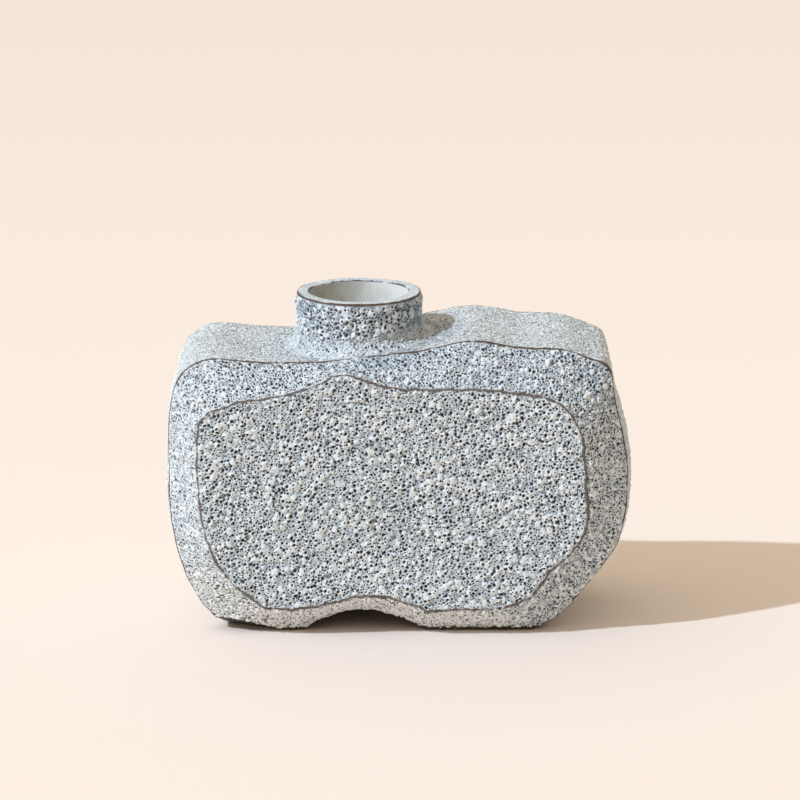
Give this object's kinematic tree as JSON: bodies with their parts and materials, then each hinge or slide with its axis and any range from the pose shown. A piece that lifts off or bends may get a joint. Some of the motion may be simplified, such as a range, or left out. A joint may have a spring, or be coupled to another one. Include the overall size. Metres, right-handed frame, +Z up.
{
  "type": "pillow vase",
  "caption": "Slab-built stoneware pillow vase with flat bevelled faces, a short round neck set off centre, and two feet under a low arch.",
  "frame": {"origin": "on the surface it stands on, under the middle of its box", "axes": "+X across the width, +Y from the front panel to the back panel, +Z up"},
  "size_m": [0.2096, 0.0996, 0.1485],
  "materials": {
    "crater_glaze": "matte",
    "bare_clay": "matte"
  },
  "bodies": {
    "root": {"front_panel": "crater_glaze", "front_bevel_top": "crater_glaze", "front_bevel_left": "crater_glaze", "front_bevel_right": "crater_glaze", "front_bevel_base": "crater_glaze", "back_panel": "crater_glaze", "back_bevel_top": "crater_glaze", "back_bevel_left": "crater_glaze", "back_bevel_right": "crater_glaze", "back_bevel_base": "crater_glaze", "shoulder_slab": "crater_glaze", "left_wall": "crater_glaze", "right_wall": "crater_glaze", "base_slab": "bare_clay", "neck_collar": "crater_glaze", "neck_joint_coil": "crater_glaze"}
  },
  "joints": []
}
